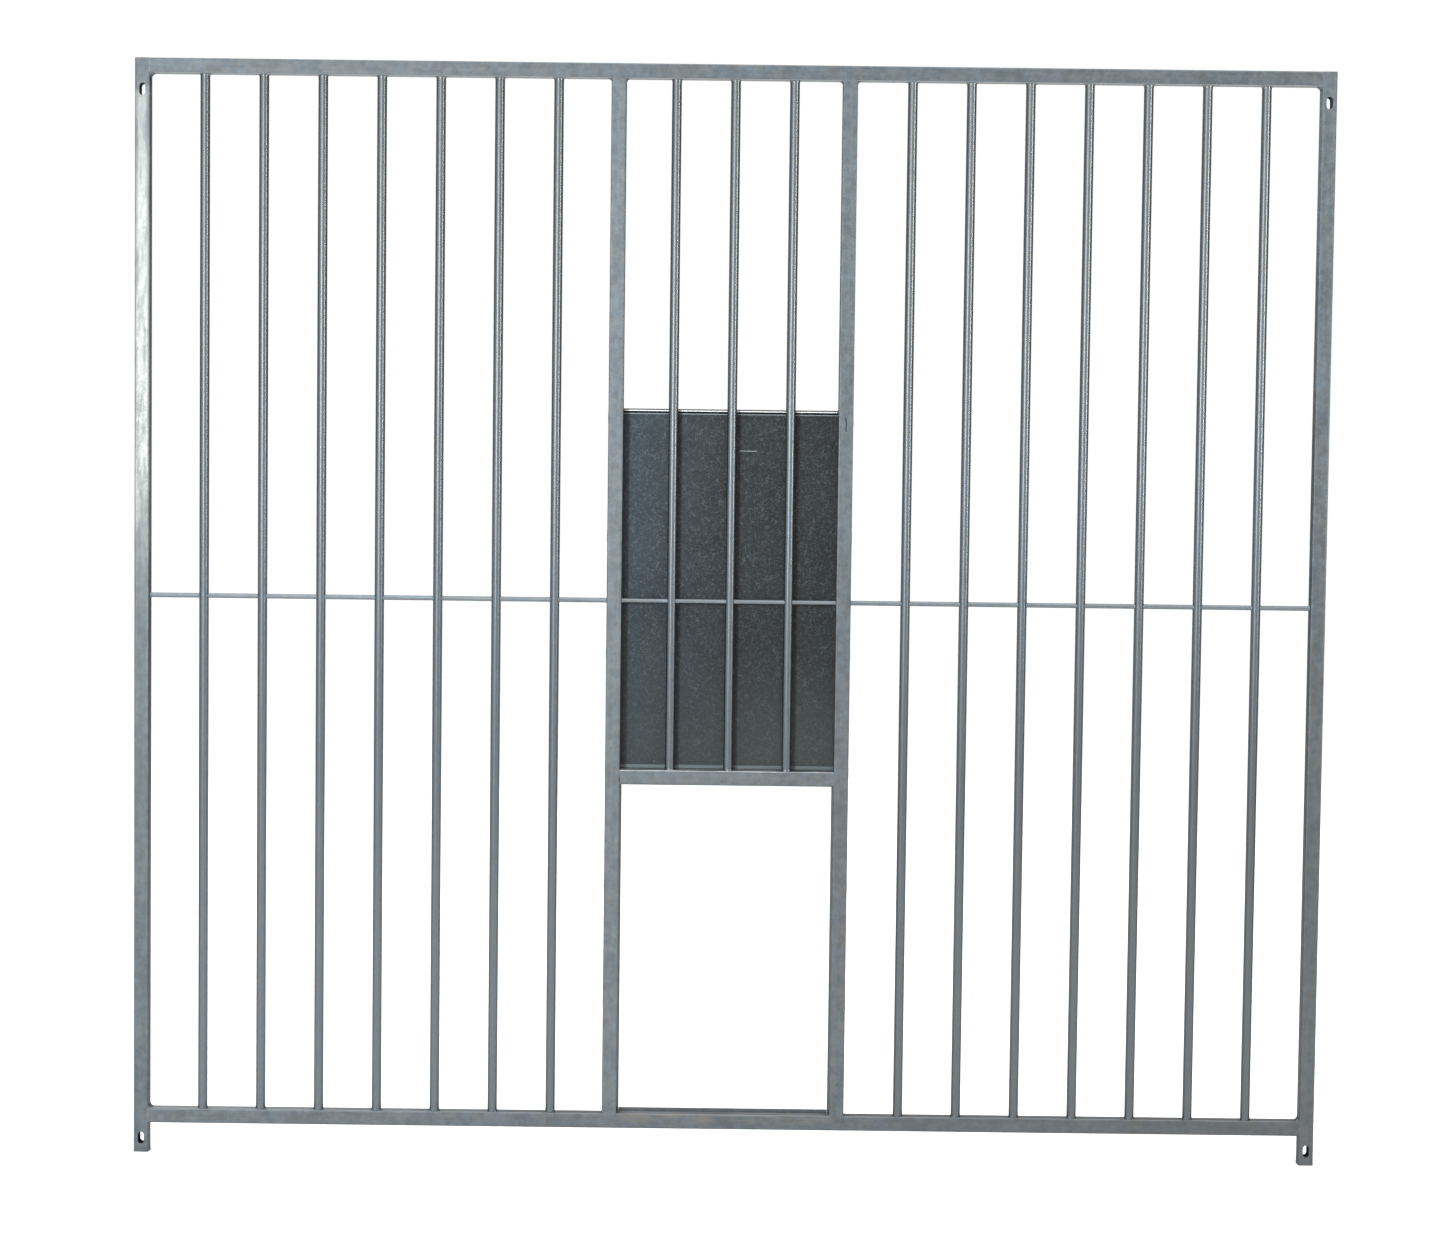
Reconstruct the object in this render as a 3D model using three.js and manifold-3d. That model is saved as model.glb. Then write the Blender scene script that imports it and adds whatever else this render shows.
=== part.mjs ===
// A galvanised steel panel for a dog run, with a sliding hatch in it, shown with the hatch raised.
// Millimetres, +Z up. The front faces -Y, left and right are as seen from the front, and z = 0 is
// the ground under the two feet. Neighbouring pieces keep WELD_GAP between them, where the real
// ones are welded together or touch.

import * as THREE from 'three';
import { mergeVertices } from 'three/addons/utils/BufferGeometryUtils.js';
import Module from 'manifold-3d';

const wasm = await Module();
wasm.setup();

// ---- Driving dimensions ----

const WIDTH = 2000;
const HEIGHT = 1840;
const FOOT = 50; // stile length below the bottom rail
const WELD_GAP = 0.3;

// Square tube of the frame, posts and rails
const TUBE = 25;
const TUBE_WALL = 1.5;
const TUBE_CORNER = 2.5;

// Round tube bars, with a horizontal rod threaded through them at mid-height
const BAR = 16;
const BAR_WALL = 1.5;
const SPACES_PER_HALF = 10; // equal bar spaces from mid-width to a stile
const POST_SPACE = 2; // the space, counted from mid-width, where a post stands instead of a bar
const ROD = 8;

// Obround bolt slots through the stiles, front to back
const SLOT_WIDTH = 10;
const SLOT_LENGTH = 20;
const LOWER_SLOT_HEIGHT = 24;
const UPPER_SLOT_DROP = 52; // below the top of the panel

// Hatch opening between the posts
const OPENING_CENTRE = -2;
const OPENING_WIDTH = 360;
const CROSS_RAIL_TOP = 660;

// Hatch plate, with its top edge folded forwards and down between the posts
const HATCH_WIDTH = 380;
const HATCH_HEIGHT = 610;
const HATCH_BOTTOM = 657.5; // raised
const HATCH_SHEET = 2;
const HATCH_RUN = 0.5; // clearance in front of the plate
const HEM_DEPTH = 5.5; // front to back, over the fold
const HEM_DROP = 6;
const HEM_SIDE_RUN = 1;

// Folded guide behind each post, and the sill strip behind the bottom rail
const GUIDE_SHEET = 2;
const GROOVE = 4;
const GUIDE_SIDE_RUN = 2; // from the plate's edge to the guide's web
const GUIDE_LIP = 2.5; // reach past the post's inner face
const GUIDE_TOP = 1265;
const SILL_TOP = 80;

// Wing screw that clamps the raised plate, in a nut welded on the right guide
const CLAMP_HEIGHT = 1240;
const CLAMP_INSET = 5; // outwards from the post's inner face
const SCREW = 7.4; // an 8 mm thread, drawn WELD_GAP clear of its nut all round
const SCREW_HOLE = 9;
const NUT_FLATS = 13;
const NUT_HEIGHT = 6.5;
const NUT_BORE = 8;
const NECK = 3; // bare shank between the nut and the hub
const TIP_CHAMFER = 1.2;
const HUB = 13;
const HUB_LENGTH = 9;
const HUB_DOME = 3;
const WING_REACH = 20;
const WING_LENGTH = 17;
const WING_THICKNESS = 4;
const WING_TIP = 4; // radius of the ear

const ROUND_SIDES = 20;
const SMALL_ROUND_SIDES = 12;
const CORNER_STEPS = 2;

const FINISHES = {
  tube: { color: 0x7f8a90, roughness: 0.5, metalness: 0.85 },
  sheet: { color: 0x666d70, roughness: 0.45, metalness: 0.9 },
  hardware: { color: 0x8e9496, roughness: 0.4, metalness: 0.9 },
};

// ---- Places worked out from the dimensions ----

const REAR_FACE = TUBE / 2; // pieces are placed with the tubes' mid-depth on y = 0
const STILE_X = (WIDTH - TUBE) / 2;
const RAIL_LENGTH = WIDTH - 2 * (TUBE + WELD_GAP);
const BOTTOM_RAIL_TOP = FOOT + TUBE;
const TOP_RAIL_UNDERSIDE = HEIGHT - TUBE;
const ROD_HEIGHT = (BOTTOM_RAIL_TOP + TOP_RAIL_UNDERSIDE) / 2;
const POST_X = (OPENING_WIDTH + TUBE) / 2; // either side of the opening's centre
const BAR_PITCH = (WIDTH / 2 - TUBE + BAR / 2) / SPACES_PER_HALF;
const PLATE_FRONT = REAR_FACE + HATCH_RUN;
const GUIDE_WEB = HATCH_WIDTH / 2 + GUIDE_SIDE_RUN; // its inner side, from the opening's centre
const GUIDE_REAR = REAR_FACE + GROOVE + GUIDE_SHEET;
const CLAMP_X = OPENING_CENTRE + OPENING_WIDTH / 2 + CLAMP_INSET;
const NUT_REAR = GUIDE_REAR + WELD_GAP + NUT_HEIGHT;
const WING_FRONT = NUT_REAR + NECK;
const REARMOST = WING_FRONT + WING_LENGTH;

const panel = new THREE.Group();

// Brings the middle of the whole depth, clamp included, to y = 0
const depthCentred = new THREE.Group();
depthCentred.position.y = (REAR_FACE - REARMOST) / 2;
panel.add(depthCentred);

function addPiece(name, geometry, finish, x, y, z) {
  const mesh = new THREE.Mesh(geometry, new THREE.MeshStandardMaterial(finish));
  mesh.name = name;
  mesh.position.set(x, y, z);
  depthCentred.add(mesh);
}

// ---- Solids ----

function toSolid(geometry) {
  const bare = geometry.clone();
  bare.deleteAttribute('normal');
  bare.deleteAttribute('uv');
  const merged = mergeVertices(bare);
  const vertProperties = new Float32Array(merged.attributes.position.array);
  const triVerts = new Uint32Array(merged.index.array);
  return new wasm.Manifold(new wasm.Mesh({ numProp: 3, vertProperties, triVerts }));
}

function toGeometry(solid) {
  const mesh = solid.getMesh();
  const geometry = new THREE.BufferGeometry();
  geometry.setAttribute('position', new THREE.BufferAttribute(mesh.vertProperties, 3));
  geometry.setIndex(new THREE.BufferAttribute(mesh.triVerts, 1));
  geometry.computeVertexNormals();
  return geometry;
}

function cut(geometry, cutters) {
  const solid = cutters.reduce((rest, cutter) => rest.subtract(toSolid(cutter)), toSolid(geometry));
  return toGeometry(solid);
}

function join(geometries) {
  const solids = geometries.map(toSolid);
  return toGeometry(solids.reduce((sum, solid) => sum.add(solid)));
}

// ---- Outlines ----

function circle(radius, Outline = THREE.Shape) {
  return new Outline().absarc(0, 0, radius, 0, 2 * Math.PI);
}

function roundedSquare(halfWidth, cornerRadius) {
  const centre = halfWidth - cornerRadius;
  const quarter = Math.PI / 2;
  const outline = new THREE.Shape();
  outline.absarc(centre, centre, cornerRadius, 0, quarter);
  outline.absarc(-centre, centre, cornerRadius, quarter, 2 * quarter);
  outline.absarc(-centre, -centre, cornerRadius, 2 * quarter, 3 * quarter);
  outline.absarc(centre, -centre, cornerRadius, 3 * quarter, 4 * quarter);
  return outline;
}

function obround(width, length) {
  const radius = width / 2;
  const centre = length / 2 - radius;
  const outline = new THREE.Shape();
  outline.absarc(0, centre, radius, 0, Math.PI);
  outline.absarc(0, -centre, radius, Math.PI, 2 * Math.PI);
  return outline;
}

function polygon(points) {
  return new THREE.Shape(points.map(([x, y]) => new THREE.Vector2(x, y)));
}

// ---- Extrusions: upwards, across the panel, and from front to back ----

function upwards(outline, length, curveSegments) {
  return new THREE.ExtrudeGeometry(outline, { depth: length, bevelEnabled: false, curveSegments });
}

// Drawn in (y, z) and centred on x = 0
function across(outline, length, curveSegments) {
  const drawn = upwards(outline, length, curveSegments).translate(0, 0, -length / 2);
  const alongY = new THREE.Vector3(0, 1, 0);
  const alongZ = new THREE.Vector3(0, 0, 1);
  const alongX = new THREE.Vector3(1, 0, 0);
  return drawn.applyMatrix4(new THREE.Matrix4().makeBasis(alongY, alongZ, alongX));
}

// Drawn in (x, z) and centred on y = 0
function frontToBack(outline, length, curveSegments) {
  const drawn = upwards(outline, length, curveSegments).translate(0, 0, -length / 2);
  return drawn.rotateX(Math.PI / 2);
}

// ---- Frame: square tubes ----

function squareTubeOutline() {
  const outline = roundedSquare(TUBE / 2, TUBE_CORNER);
  outline.holes.push(roundedSquare(TUBE / 2 - TUBE_WALL, TUBE_CORNER - TUBE_WALL));
  return outline;
}

function slotCutter(height) {
  const cutter = frontToBack(obround(SLOT_WIDTH, SLOT_LENGTH), 2 * TUBE, SMALL_ROUND_SIDES / 4);
  return cutter.translate(0, 0, height);
}

// Open at the foot, closed by a welded plate at the top
function stile() {
  const tube = upwards(squareTubeOutline(), HEIGHT - TUBE_WALL, CORNER_STEPS);
  const cap = upwards(roundedSquare(TUBE / 2, TUBE_CORNER), TUBE_WALL, CORNER_STEPS);
  cap.translate(0, 0, HEIGHT - TUBE_WALL);
  return cut(join([tube, cap]), [slotCutter(LOWER_SLOT_HEIGHT), slotCutter(HEIGHT - UPPER_SLOT_DROP)]);
}

function addFrame() {
  addPiece('left_stile', stile(), FINISHES.tube, -STILE_X, 0, 0);
  addPiece('right_stile', stile(), FINISHES.tube, STILE_X, 0, 0);
  const rail = () => across(squareTubeOutline(), RAIL_LENGTH, CORNER_STEPS);
  addPiece('top_rail', rail(), FINISHES.tube, 0, 0, HEIGHT - TUBE / 2);
  addPiece('bottom_rail', rail(), FINISHES.tube, 0, 0, FOOT + TUBE / 2);
  const foot = BOTTOM_RAIL_TOP + WELD_GAP;
  const post = () => upwards(squareTubeOutline(), TOP_RAIL_UNDERSIDE - WELD_GAP - foot, CORNER_STEPS);
  addPiece('left_post', post(), FINISHES.tube, OPENING_CENTRE - POST_X, 0, foot);
  addPiece('right_post', post(), FINISHES.tube, OPENING_CENTRE + POST_X, 0, foot);
  const crossRail = across(squareTubeOutline(), OPENING_WIDTH - 2 * WELD_GAP, CORNER_STEPS);
  addPiece('cross_rail', crossRail, FINISHES.tube, OPENING_CENTRE, 0, CROSS_RAIL_TOP - TUBE / 2);
}

// ---- Bars, and the rods threaded through them ----

function bar(foot) {
  const outline = circle(BAR / 2);
  outline.holes.push(circle(BAR / 2 - BAR_WALL, THREE.Path));
  const tube = upwards(outline, TOP_RAIL_UNDERSIDE - WELD_GAP - foot, ROUND_SIDES / 2);
  const drill = across(circle(ROD / 2 + WELD_GAP), 2 * BAR, SMALL_ROUND_SIDES / 2);
  return cut(tube, [drill.translate(0, 0, ROD_HEIGHT - foot)]);
}

function addBars(bay, firstSpace, count, railTop) {
  const foot = railTop + WELD_GAP;
  for (let index = 0; index < count; index += 1) {
    const x = (firstSpace + index) * BAR_PITCH;
    addPiece(`${bay}_bar_${index + 1}`, bar(foot), FINISHES.tube, x, 0, foot);
  }
}

function addRod(name, fromX, toX) {
  const length = toX - fromX - 2 * WELD_GAP;
  const rod = across(circle(ROD / 2), length, SMALL_ROUND_SIDES / 2);
  addPiece(name, rod, FINISHES.tube, (fromX + toX) / 2, 0, ROD_HEIGHT);
}

function addInfill() {
  const barsPerSide = SPACES_PER_HALF - 1 - POST_SPACE;
  const barsAboveHatch = 2 * POST_SPACE - 1;
  addBars('left', 1 - SPACES_PER_HALF, barsPerSide, BOTTOM_RAIL_TOP);
  addBars('centre', 1 - POST_SPACE, barsAboveHatch, CROSS_RAIL_TOP);
  addBars('right', 1 + POST_SPACE, barsPerSide, BOTTOM_RAIL_TOP);
  const stileFace = WIDTH / 2 - TUBE;
  const leftPostInner = OPENING_CENTRE - OPENING_WIDTH / 2;
  const rightPostInner = OPENING_CENTRE + OPENING_WIDTH / 2;
  addRod('left_rod', -stileFace, leftPostInner - TUBE);
  addRod('centre_rod', leftPostInner, rightPostInner);
  addRod('right_rod', rightPostInner + TUBE, stileFace);
}

// ---- Hatch, its guides and its sill ----

// Side view of the folded top edge: up the plate, over the bend and down the front leg
function hemOutline() {
  const outer = HEM_DEPTH / 2;
  const inner = outer - HATCH_SHEET;
  const bend = HATCH_HEIGHT - outer;
  const foot = HATCH_HEIGHT - 2 * HEM_DEPTH;
  const rear = HATCH_SHEET;
  const outline = new THREE.Shape();
  outline.moveTo(0, foot);
  outline.lineTo(rear, foot);
  outline.absarc(rear - outer, bend, outer, 0, Math.PI);
  outline.lineTo(rear - HEM_DEPTH, HATCH_HEIGHT - HEM_DROP);
  outline.lineTo(rear - HEM_DEPTH + HATCH_SHEET, HATCH_HEIGHT - HEM_DROP);
  outline.absarc(rear - outer, bend, inner, Math.PI, 0, true);
  return outline;
}

function hatch() {
  const flatHeight = HATCH_HEIGHT - HEM_DEPTH / 2;
  const flat = new THREE.BoxGeometry(HATCH_WIDTH, HATCH_SHEET, flatHeight);
  flat.translate(0, HATCH_SHEET / 2, flatHeight / 2);
  const hem = across(hemOutline(), OPENING_WIDTH - 2 * HEM_SIDE_RUN, CORNER_STEPS * 2);
  return join([flat, hem]);
}

// Z section in plan: foot on the post's rear face, web outside the plate's edge, flange behind it.
// Side is -1 for the left guide and 1 for the right one.
function guideOutline(side) {
  const postOuter = OPENING_WIDTH / 2 + TUBE;
  const lip = OPENING_WIDTH / 2 - GUIDE_LIP;
  const front = REAR_FACE + WELD_GAP;
  const points = [
    [postOuter, front],
    [postOuter, front + GUIDE_SHEET],
    [GUIDE_WEB + GUIDE_SHEET, front + GUIDE_SHEET],
    [GUIDE_WEB + GUIDE_SHEET, GUIDE_REAR],
    [lip, GUIDE_REAR],
    [lip, GUIDE_REAR - GUIDE_SHEET],
    [GUIDE_WEB, GUIDE_REAR - GUIDE_SHEET],
    [GUIDE_WEB, front],
  ];
  return polygon(points.map(([x, y]) => [side * x, y]));
}

function guide(side) {
  return upwards(guideOutline(side), GUIDE_TOP - FOOT, 1);
}

function drilledGuide() {
  const hole = frontToBack(circle(SCREW_HOLE / 2), 2 * TUBE, SMALL_ROUND_SIDES / 2);
  hole.translate(CLAMP_X - OPENING_CENTRE, GUIDE_REAR, CLAMP_HEIGHT - FOOT);
  return cut(guide(1), [hole]);
}

// L section in side view: a short floor behind the rail and an upstand behind the plate
function sill() {
  const front = REAR_FACE + WELD_GAP;
  const outline = polygon([
    [front, FOOT],
    [GUIDE_REAR, FOOT],
    [GUIDE_REAR, SILL_TOP],
    [GUIDE_REAR - GUIDE_SHEET, SILL_TOP],
    [GUIDE_REAR - GUIDE_SHEET, FOOT + GUIDE_SHEET],
    [front, FOOT + GUIDE_SHEET],
  ]);
  return across(outline, OPENING_WIDTH - 2 * (GUIDE_LIP + WELD_GAP), 1);
}

function addHatch() {
  addPiece('hatch_plate', hatch(), FINISHES.sheet, OPENING_CENTRE, PLATE_FRONT, HATCH_BOTTOM);
  addPiece('left_guide', guide(-1), FINISHES.sheet, OPENING_CENTRE, 0, FOOT);
  addPiece('right_guide', drilledGuide(), FINISHES.sheet, OPENING_CENTRE, 0, FOOT);
  addPiece('sill_strip', sill(), FINISHES.sheet, OPENING_CENTRE, 0, 0);
}

// ---- Clamp: weld nut and wing screw ----

function nut() {
  const corner = NUT_FLATS / Math.sqrt(3);
  const corners = [0, 1, 2, 3, 4, 5].map((step) => (step * Math.PI) / 3);
  const outline = polygon(corners.map((angle) => [corner * Math.cos(angle), corner * Math.sin(angle)]));
  outline.holes.push(circle(NUT_BORE / 2, THREE.Path));
  return frontToBack(outline, NUT_HEIGHT, SMALL_ROUND_SIDES / 2);
}

// Turned about the screw's own axis, which runs along Y with the tip forwards
function shank(tip) {
  const radius = SCREW / 2;
  const hubEnd = WING_FRONT + HUB_LENGTH;
  const profile = [
    [0, tip],
    [radius - TIP_CHAMFER, tip],
    [radius, tip + TIP_CHAMFER],
    [radius, WING_FRONT],
    [HUB / 2, WING_FRONT],
    [HUB / 2, hubEnd - HUB_DOME],
    [HUB / 2 - HUB_DOME, hubEnd],
    [0, hubEnd],
  ];
  const points = profile.map(([x, y]) => new THREE.Vector2(x, y));
  return new THREE.LatheGeometry(points, ROUND_SIDES);
}

// One ear, drawn in (x, y) and reaching out along +X
function wing() {
  const earCentre = WING_REACH - WING_TIP;
  const earHeight = WING_LENGTH - WING_TIP;
  const shoulder = HUB_LENGTH - HUB_DOME;
  const outline = new THREE.Shape();
  outline.moveTo(0, 0);
  outline.bezierCurveTo(WING_REACH / 2, 0, WING_REACH, earHeight / 2, WING_REACH, earHeight);
  outline.absarc(earCentre, earHeight, WING_TIP, 0, Math.PI);
  outline.bezierCurveTo(earCentre - WING_TIP, HUB_LENGTH, HUB / 2, shoulder, 0, shoulder);
  const ear = upwards(outline, WING_THICKNESS, CORNER_STEPS * 2);
  return ear.translate(0, WING_FRONT, -WING_THICKNESS / 2);
}

function clampScrew() {
  const tip = PLATE_FRONT + HATCH_SHEET + WELD_GAP;
  return join([shank(tip), wing(), wing().rotateY(Math.PI)]);
}

function addClamp() {
  const nutCentre = NUT_REAR - NUT_HEIGHT / 2;
  addPiece('clamp_nut', nut(), FINISHES.hardware, CLAMP_X, nutCentre, CLAMP_HEIGHT);
  addPiece('clamp_screw', clampScrew(), FINISHES.hardware, CLAMP_X, 0, CLAMP_HEIGHT);
}

addFrame();
addInfill();
addHatch();
addClamp();

export default panel;
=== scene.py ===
"""The looks of a galvanised dog-run panel with a sliding hatch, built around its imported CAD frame.

Metres, in the part's own frame: X across, Y from front to back, Z up. Every piece is made where the
CAD node that it stands for is, and rides on that node's body.
"""

import math
import random

import bmesh
import bpy
from mathutils import Matrix, Vector, noise


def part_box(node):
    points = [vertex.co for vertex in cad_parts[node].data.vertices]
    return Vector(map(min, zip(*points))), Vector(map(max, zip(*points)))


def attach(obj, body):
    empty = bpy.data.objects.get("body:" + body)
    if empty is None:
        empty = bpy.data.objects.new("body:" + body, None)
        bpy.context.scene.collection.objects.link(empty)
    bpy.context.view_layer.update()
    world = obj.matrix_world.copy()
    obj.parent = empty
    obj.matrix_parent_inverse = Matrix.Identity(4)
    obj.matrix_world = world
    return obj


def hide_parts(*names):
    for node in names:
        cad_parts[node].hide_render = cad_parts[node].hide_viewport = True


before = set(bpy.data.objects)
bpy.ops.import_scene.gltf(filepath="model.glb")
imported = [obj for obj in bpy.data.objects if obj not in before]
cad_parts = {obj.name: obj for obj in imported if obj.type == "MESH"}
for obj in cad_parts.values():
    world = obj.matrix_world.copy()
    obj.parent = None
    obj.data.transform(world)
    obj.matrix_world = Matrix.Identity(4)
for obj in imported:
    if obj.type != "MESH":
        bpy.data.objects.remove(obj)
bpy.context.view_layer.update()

MM = 0.001
ORIGIN = Vector((0, 0, 0))
UP, DOWN = (0, 0, 1), (0, 0, -1)
LEFT, RIGHT = (-1, 0, 0), (1, 0, 0)
REARWARDS, FORWARDS = (0, 1, 0), (0, -1, 0)

# Tube sections
TUBE = 25 * MM
TUBE_WALL = 1.5 * MM
TUBE_CORNER = 2.5 * MM
WELD_GAP = 0.3 * MM
NECK = 0.35 * MM  # how far a welded end is drawn in, which leaves a fine groove at the joint
CORNER_STEPS = 5
SHARP_ANGLE = 40  # degrees: an edge that turns by more is shaded sharp

# Bolt slots
SLOT_WIDTH = 10 * MM
SLOT_LENGTH = 20 * MM
LOWER_SLOT_HEIGHT = 24 * MM
UPPER_SLOT_DROP = 52 * MM

# Round bars and rods, with the weld and the zinc that gather where they end
BAR_SIDES = 40
FLARE = 5 * MM
FLARE_STEPS = (0, 0.06, 0.14, 0.25, 0.4, 0.6, 0.8, 1)
FLARE_BASE = 0.4 * MM
FLARE_FALL = 2.4  # the exponent with which it thins out along the bar
LUMP_SIZES = (0.2, 2.4)  # the smallest and the largest, in millimetres
LUMP_SPREAD = 0.62  # radians around the bar
LOWER_RIGHT_LUMP = 0.7  # the share that is left of it, as the lower ends are welded from the left
ROD_SIDES = 24
ROD_COLLAR = 0.8 * MM
COLLAR_REACH = 2 * MM
BITE = 1.2 * MM  # how far a collar reaches into a bar, whose side curves away

# Sheet parts
SHEET = 2 * MM
SHEET_EDGE = 0.3 * MM
BEND = 1 * MM  # inner radius of a folded corner
HEM_DEPTH = 5.5 * MM
HEM_DROP = 6 * MM
HEM_SIDE_RUN = 1 * MM
GUIDE_LIP = 2.5 * MM
GUIDE_WEB = 12 * MM  # from the post's inner face to the inner side of the guide's web

# Weld beads
FILLET_STEP = 1.3 * MM
FILLET_RIPPLE = 2.6 * MM
FILLET_SINK = 0.4 * MM
FILLET_FULLNESS = 0.25 * MM
FLUSH_SECTION = [(2.6, 0.03), (-0.9, 0.03), (-0.9, 1.2), (0.3, 1.9), (1.0, 1.0)]  # millimetres
FLUSH_TAILS = [0.3 * MM, 0.8 * MM, 1.5 * MM, TUBE_CORNER]
SLIT_START, SLIT_END = 5 * MM, 11 * MM  # up the left end of the cross rail, where no weld was laid
TACK_RADIUS = 1.8 * MM
TACK_REACH = 14 * MM  # half a tack's length
TACK_SPACING = 190 * MM

# Clamp
SCREW_THREAD = 7.8 * MM
SCREW_HOLE = 9 * MM
THREAD_PITCH = 1.25 * MM
THREAD_DEPTH = 0.6 * MM
NUT_FLATS = 13 * MM
NUT_BORE = 8 * MM
HUB = 13 * MM
HUB_LENGTH = 9 * MM
WING_LENGTH = 17 * MM
WING_THICKNESS = 4 * MM
WING_TIP = 4 * MM
WING_EDGE = 0.8 * MM
HUB_DOME = 3 * MM

# Camera and studio
CAMERA_PLACE = Vector((-0.012, -5.237, 1.204))
CAMERA_PITCH = -3.217  # degrees
CAMERA_ROLL = 0.688
LENS = 77.4
SENSOR = 36
FLOOR_REACH = 30


# ---- Meshes ----

def add_mesh(name, bm):
    """A new object from a bmesh, with its faces turned outwards."""
    bmesh.ops.recalc_face_normals(bm, faces=bm.faces)
    mesh = bpy.data.meshes.new(name)
    bm.to_mesh(mesh)
    bm.free()
    made = bpy.data.objects.new(name, mesh)
    bpy.context.scene.collection.objects.link(made)
    return made


def set_shading(mesh, sharp=SHARP_ANGLE):
    mesh.shade_smooth()
    mesh.set_sharp_from_angle(angle=math.radians(sharp))


def finish_mesh(name, bm, material, body, nodes=(), sharp=SHARP_ANGLE):
    """Turns a bmesh into a piece that rides on a body and stands for its CAD nodes."""
    piece = add_mesh(name, bm)
    piece.data.materials.append(material)
    set_shading(piece.data, sharp)
    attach(piece, body)
    if nodes:
        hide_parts(*nodes)
    return piece


def skin(bm, rings, loop=False):
    """A closed skin over rings of points, which make a loop or are capped at both ends."""
    made = [[bm.verts.new(point) for point in ring] for ring in rings]
    pairs = list(zip(made, made[1:])) + ([(made[-1], made[0])] if loop else [])
    for low, high in pairs:
        for i in range(len(low)):
            j = (i + 1) % len(low)
            bm.faces.new((low[i], low[j], high[j], high[i]))
    if not loop:
        bm.faces.new(made[0])
        bm.faces.new(made[-1])


def boolean(piece, other, operation):
    """Cuts or joins another closed object into a piece, and removes the other one."""
    modifier = piece.modifiers.new(operation, "BOOLEAN")
    modifier.operation = operation
    modifier.object = other
    modifier.solver = "EXACT"
    apply_modifiers(piece)
    bpy.data.objects.remove(other)


def apply_modifiers(piece):
    """Puts the mesh as modified in the place of the piece's own."""
    bpy.context.view_layer.update()
    graph = bpy.context.evaluated_depsgraph_get()
    made = bpy.data.meshes.new_from_object(piece.evaluated_get(graph))
    piece.modifiers.clear()
    piece.data = made


# ---- Sections: lists of (a, b) around a closed outline ----

def arc(centre, radius, start, end, steps):
    """Points around a centre, with the angles in radians."""
    angles = [start + (end - start) * i / steps for i in range(steps + 1)]
    return [(centre[0] + radius * math.cos(t), centre[1] + radius * math.sin(t)) for t in angles]


def rounded_square(half, radius):
    """Corners as arcs, with a point close beside each one so that the flat sides shade flat."""
    support = 0.4 * MM
    outline = []
    for turn in range(4):
        corner = arc((half - radius, half - radius), radius, 0, math.pi / 2, CORNER_STEPS)
        corner = [(half, half - radius - support)] + corner + [(half - radius - support, half)]
        cos, sin = math.cos(turn * math.pi / 2), math.sin(turn * math.pi / 2)
        outline += [(a * cos - b * sin, a * sin + b * cos) for a, b in corner]
    return outline


def circle(radius, sides):
    return [(radius * math.cos(t), radius * math.sin(t)) for t in turns(sides)]


def turns(sides):
    """The angles of the corners of a regular polygon."""
    return [2 * math.pi * i / sides for i in range(sides)]


def obround(width, length):
    """A slot's outline: straight sides and half-round ends."""
    radius = width / 2
    reach = length / 2 - radius
    steps = 2 * CORNER_STEPS
    upper = arc((0, reach), radius, 0, math.pi, steps)
    lower = arc((0, -reach), radius, math.pi, 2 * math.pi, steps)
    return upper + lower


def rounded_polygon(points, radii):
    """Each corner becomes an arc of its own radius."""
    steps = 4
    outline = []
    for i, (corner, radius) in enumerate(zip(points, radii)):
        here = Vector(corner)
        before = (Vector(points[i - 1]) - here).normalized()
        after = (Vector(points[(i + 1) % len(points)]) - here).normalized()
        half_angle = before.angle(after) / 2
        centre = here + (before + after).normalized() * radius / math.sin(half_angle)
        start = here + before * radius / math.tan(half_angle) - centre
        sweep = start.angle_signed(here + after * radius / math.tan(half_angle) - centre)
        for step in range(steps + 1):
            outline.append(tuple(centre + Matrix.Rotation(-sweep * step / steps, 2) @ start))
    return outline


# ---- Ways to stand a section up along an axis ----

def along_x(section, x, middle):
    return [Vector((x, middle.y + a, middle.z + b)) for a, b in section]


def along_y(section, y, middle):
    return [Vector((middle.x + a, y, middle.z + b)) for a, b in section]


def along_z(section, z, middle):
    return [Vector((middle.x + a, middle.y + b, z)) for a, b in section]


def middle_of(node):
    """The middle of a CAD node's box."""
    low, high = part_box(node)
    return (low + high) / 2


# ---- Materials ----

NOISE_ROUGHNESS = 0.55


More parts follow.
